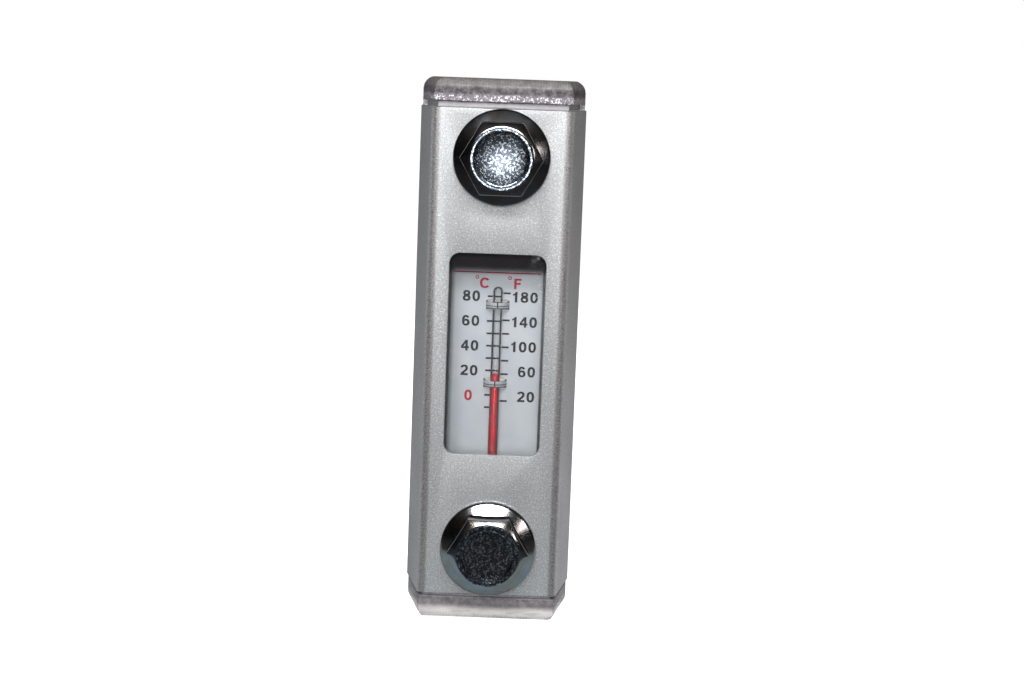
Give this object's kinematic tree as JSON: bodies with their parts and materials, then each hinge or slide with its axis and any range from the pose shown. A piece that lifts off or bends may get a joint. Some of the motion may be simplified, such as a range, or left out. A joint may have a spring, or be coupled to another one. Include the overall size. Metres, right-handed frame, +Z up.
{
  "type": "tank level gauge",
  "caption": "Upright oil level gauge for a tank wall: clear trapezoid moulding in an aluminium cover with a window, a thermometer on a scale plate, and hollow flange bolts above and below.",
  "frame": {"origin": "on the flat back, midway between the two studs", "axes": "+Z up along the scale, +Y out of the flat back into the tank, the window faces -Y"},
  "size_m": [0.0342, 0.0494, 0.1109],
  "materials": {
    "cover": "fine blasted, anodised",
    "clear_moulding": "clear moulded polyamide",
    "scale": "pale satin enamel",
    "black_print": "printed ink",
    "red_print": "printed ink",
    "tube_glass": "clear glass",
    "red_spirit": "red spirit",
    "bolt": "bright zinc plated steel",
    "seal": "black nitrile"
  },
  "bodies": {
    "root": {"front_cover": "cover", "sight_body": "clear_moulding", "back_plate": "clear_moulding", "scale_plate": "scale", "celsius_ticks": "black_print", "fahrenheit_ticks": "black_print", "header_rule": "red_print", "thermometer_glass": "tube_glass", "thermometer_spirit": "red_spirit", "upper_bolt": "bolt", "lower_bolt": "bolt", "upper_head_seal": "seal", "lower_head_seal": "seal", "upper_tank_seal": "seal", "lower_tank_seal": "seal"}
  },
  "joints": []
}
